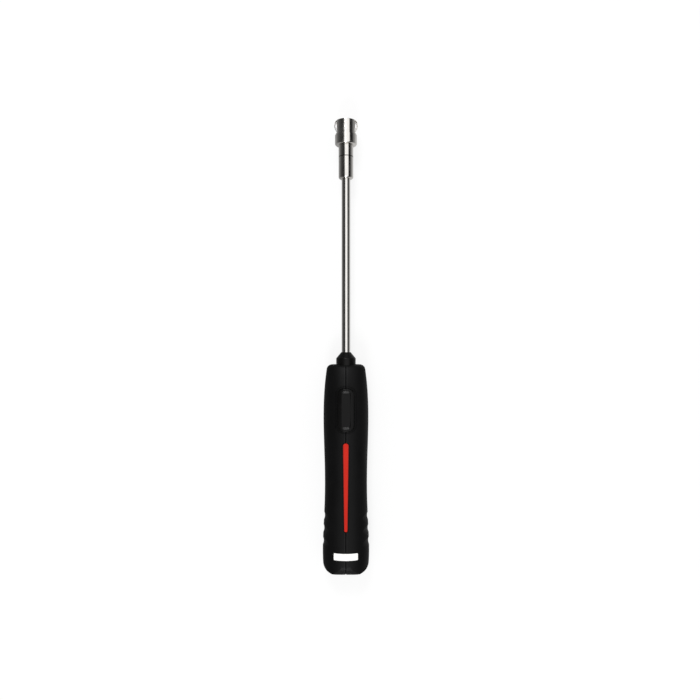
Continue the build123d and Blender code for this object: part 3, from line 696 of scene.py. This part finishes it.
class THERMOMETER_OT_ribbons(PieceOperator):
    """Make the two halves of the contact ribbon, and finish the junction between them"""
    bl_idname = "thermometer.ribbons"
    bl_label = "Contact Ribbons"

    def make(self, scene):
        look, shape = scene.thermometer_probe, scene.thermometer_band
        low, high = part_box("positive_ribbon")
        width = high.z - low.z
        line = band_line(shape, 0.0, 0.0, low.x)
        bright, dark = tuple(look.bright_alloy), tuple(look.dark_alloy)
        tint = tone(bright, 0.45)
        for name, side, base in (("positive_ribbon", 1, bright), ("negative_ribbon", -1, dark)):
            points = [Vector((side * point.x, point.y)) for point in line]
            piece = strip_mesh(name + "_band", [(points, 0.0)], width, shape.thickness,
                               shape.thickness / 3)
            alloy = name.replace("ribbon", "alloy")
            settle(piece, rolled_alloy(alloy + "_strip", base, 0.24, tint), "handle", alloy, name)
        f = Finish("welded_junction")
        across = f.ramp(f.x, -0.2 * MM, 0.2 * MM)
        spot = f.ramp(f.from_axis(), 0.15 * MM, 0.5 * MM, 1.0, 0.0)
        ripple = f.noise(0.12 * MM, 3.0)
        shade = f.mix(across, tone(dark, 1.3), tone(bright, 0.8))
        shade = f.mix(spot * 0.6, shade, (0.35, 0.3, 0.28))
        put(f.surface(Base_Color=shade, Metallic=1.0, Roughness=f.ramp(ripple, 0.3, 0.7, 0.3, 0.45),
                      Normal=f.bump(ripple, 0.4, 0.02 * MM)), "measuring_junction")


class THERMOMETER_OT_strips(PieceOperator):
    """Make the two side strips and the bar that joins them under the ribbon"""
    bl_idname = "thermometer.strips"
    bl_label = "Side Strips"

    def make(self, scene):
        look, shape = scene.thermometer_probe, scene.thermometer_band
        low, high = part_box("side_springs")
        ribbon_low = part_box("positive_ribbon")[0]
        offset = (high.z - low.z) / 2 - shape.strip_width / 2
        half = band_line(shape, shape.strip_drop, shape.strip_tuck, 0.0)
        line = [Vector((-point.x, point.y)) for point in reversed(half[1:])] + half
        edge = shape.thickness / 3
        piece = strip_mesh("side_strip_bands", [(line, -offset), (line, offset)],
                           shape.strip_width, shape.thickness, edge)
        bm = bmesh.new()
        bm.from_mesh(piece.data)
        bar = bmesh.ops.create_cube(bm, size=1.0)["verts"]
        top = tip - shape.strip_drop
        bmesh.ops.scale(bm, vec=(ribbon_low.x * 2, shape.thickness, offset * 2), verts=bar)
        bmesh.ops.translate(bm, vec=(0, top - shape.thickness / 2, axis_height), verts=bar)
        bar_edges = list({edge for vert in bar for edge in vert.link_edges})
        bmesh.ops.bevel(bm, geom=bar_edges, offset=edge, segments=2, affect="EDGES", profile=0.5)
        bm.to_mesh(piece.data)
        bm.free()
        strip = rolled_alloy("spring_strip", tuple(look.spring), 0.3,
                             tone(tuple(look.spring), 0.7))
        settle(piece, strip, "handle", "spring_steel", "side_springs")


class THERMOMETER_OT_fasteners(PieceOperator):
    """Finish the shell screws"""
    bl_idname = "thermometer.fasteners"
    bl_label = "Shell Screws"

    def make(self, scene):
        put(plated("zinc_screws", tuple(scene.thermometer_inside.plating), 0.3),
            "shell_screws")


class THERMOMETER_OT_cells(PieceOperator):
    """Finish the dry cells, their contacts, springs and cradle"""
    bl_idname = "thermometer.cells"
    bl_label = "Cells and Contacts"

    def make(self, scene):
        look = scene.thermometer_inside
        low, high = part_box("battery_cells")
        radius = (high.z - low.z) / 2
        f = Finish("cell_jacket")
        from_middle = abs(f.x) - (high.x - radius)
        upright = f.z - (low.z + radius)
        around = (from_middle * from_middle + upright * upright) ** 0.5
        heading = f.ramp(f.x, -0.1 * MM, 0.1 * MM)
        along = f.mix(heading, (0, 0, 0), (1, 1, 1))
        forward = f.y - low.y
        backward = high.y - f.y
        side = f.node("ShaderNodeSeparateColor", {}, {0: along})
        from_pole = forward * side + backward * (1 - side)
        ring = f.ramp(from_pole, 5 * MM, 5.1 * MM) * f.ramp(from_pole, 9 * MM, 9.1 * MM, 1.0, 0.0)
        ends = f.ramp(around, radius - 0.6 * MM, radius - 0.5 * MM, 1.0, 0.0)
        scuff = f.noise(2 * MM, 4.0)
        jacket = f.mix(scuff, tone(tuple(look.jacket), 0.9), tuple(look.jacket))
        shade = f.mix(ring, jacket, tuple(look.jacket_band))
        shade = f.mix(ends, shade, tuple(look.plating))
        put(f.surface(Base_Color=shade, Metallic=f.ramp(ends, 0.0, 1.0, 0.35, 1.0),
                      Roughness=f.ramp(scuff, 0.3, 0.7, 0.28, 0.4),
                      Normal=f.bump(f.noise(0.3 * MM), 0.08, 0.01 * MM)), "battery_cells")
        put(plated("plated_contacts", tuple(look.plating), 0.28), "link_plate",
            "positive_contact", "negative_contact", "contact_springs")
        put(moulded_part("cradle_moulding", tuple(look.moulding)), "battery_cradle")


class THERMOMETER_OT_board(PieceOperator):
    """Finish the circuit board and its tracks"""
    bl_idname = "thermometer.board"
    bl_label = "Circuit Board"

    def make(self, scene):
        look = scene.thermometer_inside
        base, gold = tuple(look.laminate), tuple(look.gold)
        f = Finish("solder_mask")
        turned_place = f.node("ShaderNodeMapping", {},
                              {"Vector": f.place, "Rotation": (0, 0, 0.785)})
        tracks = f.node("ShaderNodeTexBrick", {},
                        {"Vector": turned_place, "Scale": 1.0, "Mortar Size": 0.12 * MM,
                         "Brick Width": 6 * MM, "Row Height": 0.9 * MM}, "Fac")
        holes = f.ramp(f.cells(2.6 * MM), 0.1, 0.13, 1.0, 0.0)
        rings = f.ramp(f.cells(2.6 * MM), 0.2, 0.23, 1.0, 0.0)
        skin = f.noise(3 * MM)
        shade = f.mix(skin, tone(base, 0.85), tone(base, 1.15))
        shade = f.mix(tracks, shade, tone(base, 1.9))
        shade = f.mix(rings, shade, gold)
        shade = f.mix(holes, shade, (0.02, 0.02, 0.02))
        normal_z = f.node("ShaderNodeSeparateXYZ", {},
                          {0: f.node("ShaderNodeNewGeometry", out="Normal")}, "Z")
        rim = f.ramp(abs(normal_z), 0.4, 0.6, 1.0, 0.0)
        shade = f.mix(rim, shade, (0.42, 0.36, 0.16))
        height = tracks * 0.6 + rings * 0.4 - holes
        put(f.surface(Base_Color=shade, Metallic=rings * (1 - holes) * (1 - rim),
                      Roughness=f.ramp(skin, 0.3, 0.7, 0.3, 0.42) + rim * 0.3,
                      Normal=f.bump(height, 0.4, 0.03 * MM)), "circuit_board")


class THERMOMETER_OT_board_parts(PieceOperator):
    """Finish the parts that the circuit board carries"""
    bl_idname = "thermometer.board_parts"
    bl_label = "Board Parts"

    def make(self, scene):
        look = scene.thermometer_inside
        plating, epoxy = tuple(look.plating), tuple(look.epoxy)
        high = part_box("radio_module")[1]
        f = Finish("shield_can")
        rim = f.ramp(f.z, high.z - 0.5 * MM, high.z - 0.4 * MM)
        edge = f.ramp(abs(f.x), high.x - 0.5 * MM, high.x - 0.45 * MM)
        brushed = f.noise(0.15 * MM, 3.0, vector=f.stretched(1.0, 0.05, 1.0))
        shade = f.mix(edge * 0.3, plating, tone(plating, 0.7))
        put(f.surface(Base_Color=shade, Metallic=1.0,
                      Roughness=f.ramp(brushed, 0.3, 0.7, 0.28, 0.42) + rim * 0.04,
                      Normal=f.bump(brushed + edge, 0.15, 0.02 * MM)), "radio_module")
        low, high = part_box("measuring_chip")
        f = Finish("chip_epoxy")
        pins = f.node("ShaderNodeTexBrick", {"offset": 0.0},
                      {"Vector": f.place, "Scale": 1.0, "Mortar Size": 0.14 * MM,
                       "Brick Width": 0.65 * MM, "Row Height": 0.65 * MM}, "Fac")
        low_band = f.ramp(f.z, low.z + 0.3 * MM, low.z + 0.36 * MM, 1.0, 0.0)
        legs = (1 - pins) * low_band
        dimple = f.ramp(((f.x - low.x - 1 * MM) ** 2.0 + (f.y - high.y + 1 * MM) ** 2.0) ** 0.5,
                        0.35 * MM, 0.42 * MM, 1.0, 0.0)
        shade = f.mix(f.noise(0.4 * MM), tone(epoxy, 0.8), tone(epoxy, 1.4))
        shade = f.mix(legs, shade, plating)
        put(f.surface(Base_Color=shade, Metallic=legs, Roughness=f.ramp(legs, 0.0, 1.0, 0.55, 0.3),
                      Normal=f.bump(1 - dimple, 0.5, 0.08 * MM)), "measuring_chip")
        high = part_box("press_switch")[1]
        f = Finish("switch_case")
        cover = f.ramp(f.z, high.z - 0.45 * MM, high.z - 0.4 * MM)
        grain = f.noise(0.3 * MM, 2.0)
        shade = f.mix(cover, epoxy, plating)
        put(f.surface(Base_Color=shade, Metallic=cover,
                      Roughness=f.ramp(grain, 0.3, 0.7, 0.34, 0.48),
                      Normal=f.bump(grain, 0.15, 0.01 * MM)), "press_switch")
        put(polished_black("plunger_black", tone(epoxy, 1.2), 0.4), "switch_plunger")
        put(moulded_part("terminal_moulding", tuple(look.moulding), 0.5), "cold_junction_block")


class THERMOMETER_OT_leads(PieceOperator):
    """Finish the two thermocouple leads inside the stem"""
    bl_idname = "thermometer.leads"
    bl_label = "Leads"

    def make(self, scene):
        look = scene.thermometer_inside
        put(woven_sleeve("red_braid", tuple(look.red_wire)), "negative_lead")
        put(woven_sleeve("white_braid", tuple(look.white_wire)), "positive_lead")


class THERMOMETER_OT_studio(PieceOperator):
    """Set up the pale floor, the soft lamps, the sky and the camera"""
    bl_idname = "thermometer.studio"
    bl_label = "Studio"

    def make(self, scene):
        look = scene.thermometer_studio
        self.floor(scene, look)
        self.sky(scene, look)
        self.lamp(scene, "nose_lamp", NOSE_LAMP_PLACE, look.lamp_size, look.nose_lamp)
        self.lamp(scene, "foot_lamp", FOOT_LAMP_PLACE, look.lamp_size, look.foot_lamp)
        camera = bpy.data.objects.new("camera", bpy.data.cameras.new("camera"))
        camera.location = (look.camera_side, -look.camera_back, axis_height + look.camera_height)
        camera.data.lens = camera.data.sensor_width * look.camera_height / look.view_width
        scene.collection.objects.link(camera)
        scene.camera = camera
        scene.view_settings.view_transform = "Standard"

    def floor(self, scene, look):
        """A pale floor that keeps the shadow; in reflections it glows with painted light, brighter
        near the tool and darker to the left.
        """
        mesh = bpy.data.meshes.new("studio_floor")
        corners = [(side * FLOOR_REACH, end * FLOOR_REACH, 0)
                   for side, end in ((-1, -1), (1, -1), (1, 1), (-1, 1))]
        mesh.from_pydata(corners, [], [(0, 1, 2, 3)])
        floor = bpy.data.objects.new("studio_floor", mesh)
        floor.location.z = cad_box[0][2] - FLOOR_GAP
        scene.collection.objects.link(floor)
        f = Finish("pale_floor")
        paper = f.noise(0.05, 2.0)
        shade = f.mix(paper, (look.floor_tone,) * 3, (look.floor_tone * 1.02,) * 3)
        matt = f.node("ShaderNodeBsdfDiffuse", {}, {"Color": shade})
        white = f.node("ShaderNodeEmission", {}, {"Color": (1, 1, 1, 1), "Strength": 1.0})
        dark = f.node("ShaderNodeBsdfDiffuse", {}, {"Color": (0, 0, 0, 1)})
        seen, mirrored, passed = (f.node("ShaderNodeLightPath", out=ray) for ray in
                                  ("Is Camera Ray", "Is Glossy Ray", "Is Transmission Ray"))
        plain = f.node("ShaderNodeMixShader", {}, {"Fac": (seen + passed) * FLOOR_WHITE,
                                                       1: matt, 2: white})
        # Painted glow, seen only in reflections: brighter near the tool, dimmer far away and to the
        # left.
        near = f.ramp(abs(f.x), 5 * MM, 90 * MM, 0.75, 0.3)
        lit = near * f.ramp(f.x, -8 * MM, 8 * MM, 0.5, 0.9)
        reflected = f.node("ShaderNodeMixShader", {}, {"Fac": lit, 1: dark, 2: white})
        f.node_output(f.node("ShaderNodeMixShader", {}, {"Fac": mirrored, 1: plain, 2: reflected}))
        mesh.materials.append(f.material)

    def sky(self, scene, look):
        """An even sky, a white background, and a long light with dark sides for metal to mirror."""
        scene.world = bpy.data.worlds.new("studio_sky")
        sky = Nodes(scene.world)
        heading = sky.node("ShaderNodeTexCoord", out="Generated")
        side, up = (sky.node("ShaderNodeSeparateXYZ", {}, {0: heading}, axis) for axis in "XZ")
        tilt = sky.node("ShaderNodeMath", {"operation": "ARCTAN2"}, {0: side, 1: up})
        across = sky.node("ShaderNodeMapRange", {}, {"Value": tilt, "From Min": -math.pi / 2,
                                                     "From Max": math.pi / 2})
        left = look.strip_centre - look.strip_spread / 2
        right = look.strip_centre + look.strip_spread / 2
        levels = ((0.0, look.dusk * 3.5), (0.2, look.dusk * 1.1),
                  (left - STRIP_FADE, look.dusk), (left + STRIP_FADE, look.strip),
                  (right - STRIP_FADE, look.strip), (right + STRIP_FADE, look.dusk / 7),
                  (0.86, look.dusk / 2), (0.94, look.dusk * 3),
                  (1.0, look.dusk * 9))
        strip = sky.node("ShaderNodeValToRGB", {"stops": [(where, (level,) * 3)
                                                          for where, level in levels]},
                         {0: across}, "Color")
        mirrored = sky.node("ShaderNodeBackground", {}, {"Color": strip})
        light = sky.node("ShaderNodeBackground", {}, {"Color": (1, 1, 1, 1), "Strength": look.sky})
        white = sky.node("ShaderNodeBackground", {}, {"Color": (1, 1, 1, 1)})
        for ray, seen in (("Is Glossy Ray", mirrored), ("Is Camera Ray", white),
                          ("Is Transmission Ray", white)):
            chosen = sky.node("ShaderNodeLightPath", out=ray)
            light = sky.node("ShaderNodeMixShader", {}, {0: chosen, 1: light, 2: seen})
        sky.node("ShaderNodeOutputWorld", {}, {"Surface": light})

    def lamp(self, scene, name, place, size, power):
        """A round lamp that points at the middle of the tool."""
        data = bpy.data.lights.new(name, "AREA")
        data.shape = "DISK"
        data.size = size
        data.energy = power
        lamp = bpy.data.objects.new(name, data)
        lamp.location = place
        lamp.rotation_euler = (-Vector(place)).to_track_quat("-Z", "Y").to_euler()
        scene.collection.objects.link(lamp)


OPERATORS = (
    THERMOMETER_OT_shells, THERMOMETER_OT_button, THERMOMETER_OT_inlay, THERMOMETER_OT_label,
    THERMOMETER_OT_plug, THERMOMETER_OT_gland, THERMOMETER_OT_stem, THERMOMETER_OT_head,
    THERMOMETER_OT_ribbons, THERMOMETER_OT_strips, THERMOMETER_OT_fasteners,
    THERMOMETER_OT_cells, THERMOMETER_OT_board, THERMOMETER_OT_board_parts,
    THERMOMETER_OT_leads, THERMOMETER_OT_studio,
)
SETTINGS = {
    "thermometer_handle": HandleSettings,
    "thermometer_probe": ProbeSettings,
    "thermometer_band": BandSettings,
    "thermometer_inside": InsideSettings,
    "thermometer_studio": StudioSettings,
}


class THERMOMETER_PT_sidebar(bpy.types.Panel):
    """Sizes, colours and pieces of the thermometer"""
    bl_idname = "THERMOMETER_PT_sidebar"
    bl_label = "Contact Thermometer"
    bl_space_type = "VIEW_3D"
    bl_region_type = "UI"
    bl_category = "Thermometer"

    def draw(self, context):
        for name, group in SETTINGS.items():
            box = self.layout.box()
            for field in group.__annotations__:
                box.prop(getattr(context.scene, name), field)
        for operator in OPERATORS:
            self.layout.operator(operator.bl_idname)


def register():
    for name, group in SETTINGS.items():
        bpy.utils.register_class(group)
        setattr(bpy.types.Scene, name, bpy.props.PointerProperty(type=group))
    for operator in OPERATORS:
        bpy.utils.register_class(operator)
    bpy.utils.register_class(THERMOMETER_PT_sidebar)


def unregister():
    bpy.utils.unregister_class(THERMOMETER_PT_sidebar)
    for operator in reversed(OPERATORS):
        bpy.utils.unregister_class(operator)
    for name, group in reversed(SETTINGS.items()):
        delattr(bpy.types.Scene, name)
        bpy.utils.unregister_class(group)


def main():
    register()
    for operator in OPERATORS:
        area, action = operator.bl_idname.split(".")
        if getattr(getattr(bpy.ops, area), action)() != {"FINISHED"}:
            raise RuntimeError(f"{operator.bl_label} did not finish")


if __name__ == "__main__":
    main()
